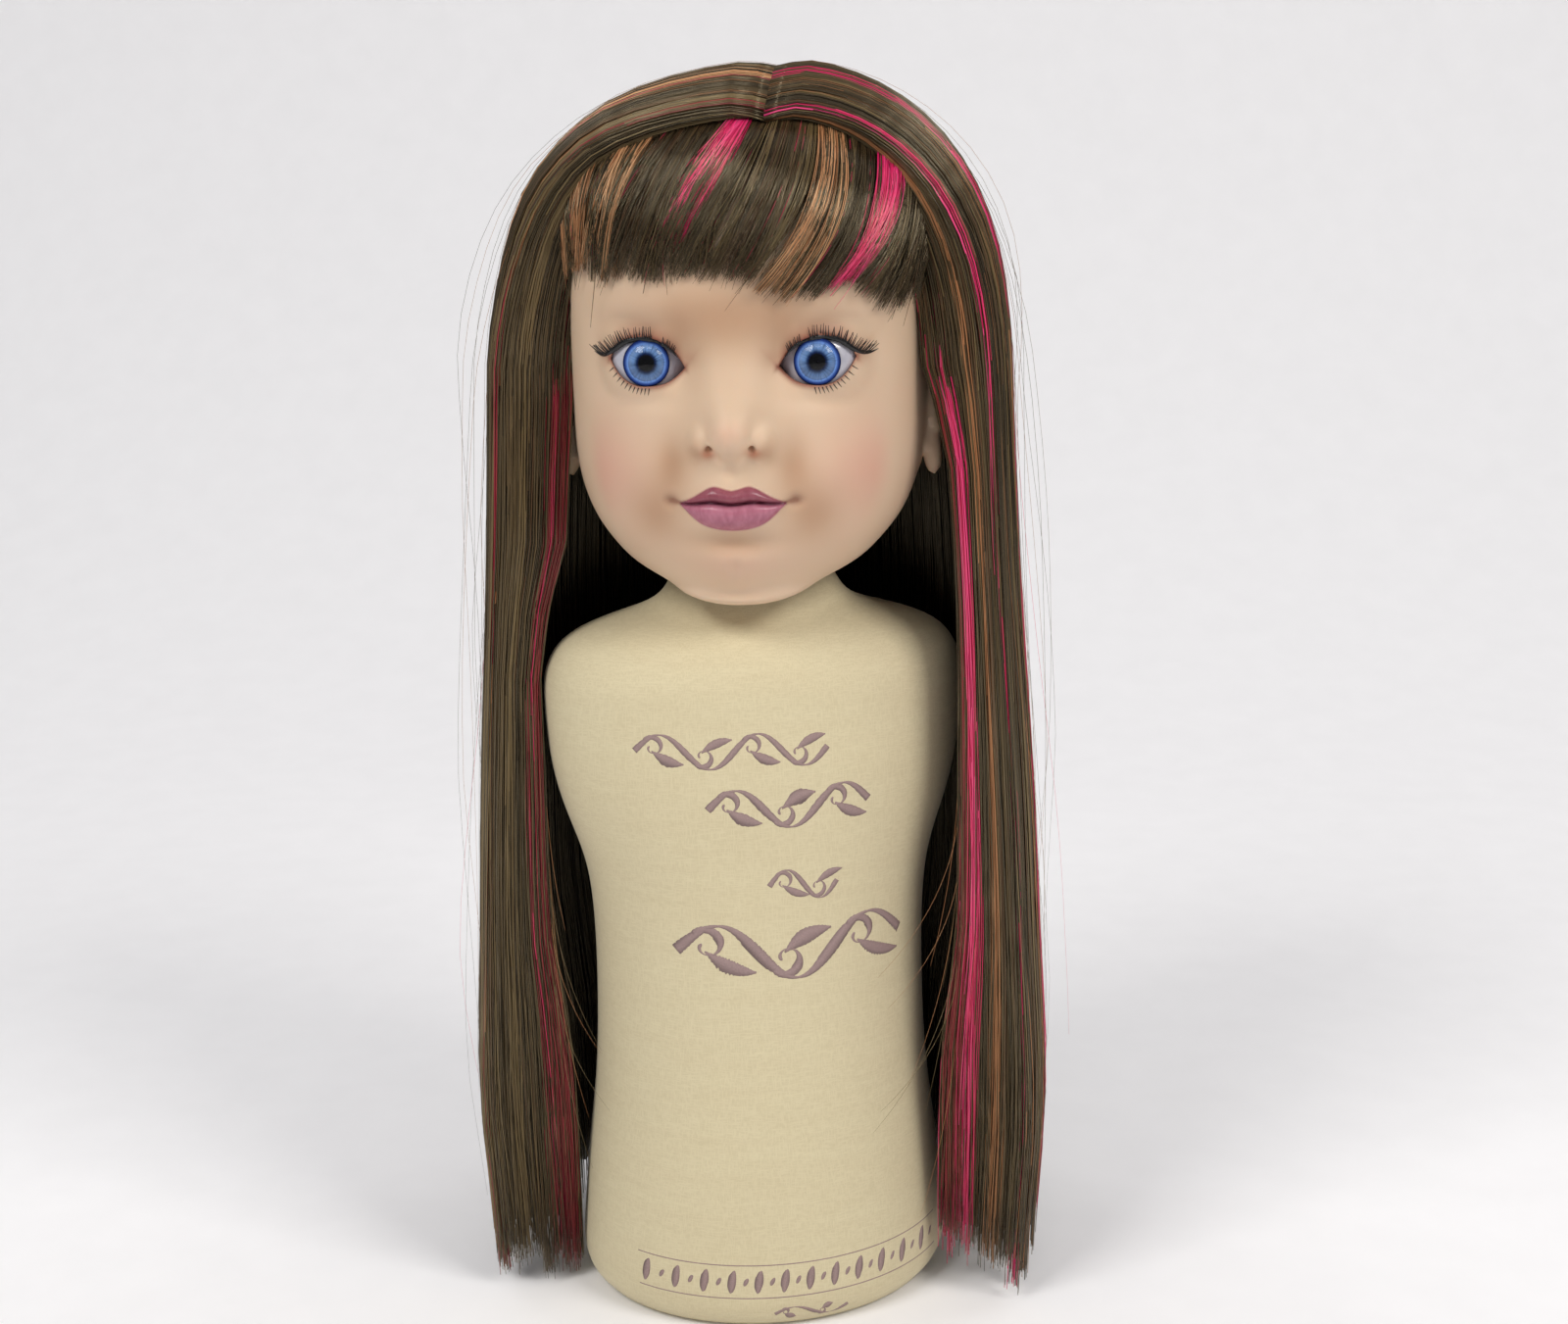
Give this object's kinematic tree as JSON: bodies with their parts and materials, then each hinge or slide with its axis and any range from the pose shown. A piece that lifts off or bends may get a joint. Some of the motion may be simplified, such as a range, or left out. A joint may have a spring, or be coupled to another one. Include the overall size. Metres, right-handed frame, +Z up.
{
  "type": "mannequin training head",
  "caption": "Doll-size mannequin styling head with rooted long straight streaked hair and inset eyes, turning and lifting off the neck of a small cloth-covered bust form.",
  "frame": {"origin": "centre of the form's underside, on the surface that it stands on, on the neck's axis", "axes": "+Z up along the neck's axis, -Y the way the face looks, +X to the right as seen facing the face; the form is turned 17.5 degrees anticlockwise from above against the head"},
  "size_m": [0.158, 0.1361, 0.3253],
  "materials": {
    "hair_brown": "straight brown acrylic fibre, satin sheen",
    "hair_blonde": "caramel acrylic fibre",
    "hair_pink": "bright pink acrylic fibre",
    "lash": "black bristle",
    "eye_white": "polished white acrylic",
    "eye_iris": "printed blue iris under the lens",
    "eye_clear": "clear acrylic dome",
    "eye_cup": "moulded",
    "vinyl_skin": "soft matt vinyl with painted lips and cheeks",
    "ring_plastic": "moulded",
    "cap_plastic": "moulded",
    "foam": "rigid foam",
    "printed_linen": "cream linen-look cloth with a printed scroll ornament",
    "fibreboard": "sawn and sanded",
    "felt": "pressed felt",
    "wood": "turned beech",
    "zinc_steel": "zinc plated"
  },
  "bodies": {
    "form": {"form_core": "foam", "form_cover": "printed_linen", "base_board": "fibreboard", "base_pad": "felt", "centre_dowel": "wood", "base_screw": "zinc_steel", "neck_screw": "zinc_steel", "neck_cap": "cap_plastic", "cover_staples": "zinc_steel"},
    "collar": {"neck_ring": "ring_plastic"},
    "head": {"head_shell": "vinyl_skin", "root_plugs": "hair_brown", "eye_white_left": "eye_white", "eye_iris_left": "eye_iris", "eye_lens_left": "eye_clear", "eye_cup_left": "eye_cup", "eye_white_right": "eye_white", "eye_iris_right": "eye_iris", "eye_lens_right": "eye_clear", "eye_cup_right": "eye_cup", "upper_lashes_left": "lash", "upper_lashes_right": "lash", "pink_streak_right": "hair_pink", "temple_lock_right": "hair_brown", "side_lock_right": "hair_brown", "pink_streak_crown": "hair_pink", "rear_lock_right": "hair_brown", "back_lock_right": "hair_brown", "back_lock_left": "hair_brown", "rear_lock_left": "hair_brown", "blonde_streak_left": "hair_blonde", "side_lock_left": "hair_brown", "temple_lock_left": "hair_brown", "pink_streak_left": "hair_pink", "front_sweep_right": "hair_brown", "front_sweep_left": "hair_brown", "fringe_left": "hair_brown", "fringe_pink_left": "hair_pink", "fringe_centre": "hair_brown", "fringe_blonde": "hair_blonde", "fringe_right": "hair_brown", "fringe_pink_right": "hair_pink"}
  },
  "joints": [
    {"name": "head_lift", "type": "slide", "parent": "form", "child": "collar", "axis": [0, 0, 1], "range_m": [0, 0.055]},
    {"name": "head_turn", "type": "hinge", "parent": "collar", "child": "head", "pos_m": [0, 0, 0.2], "axis": [0, 0, 1], "continuous": true}
  ]
}
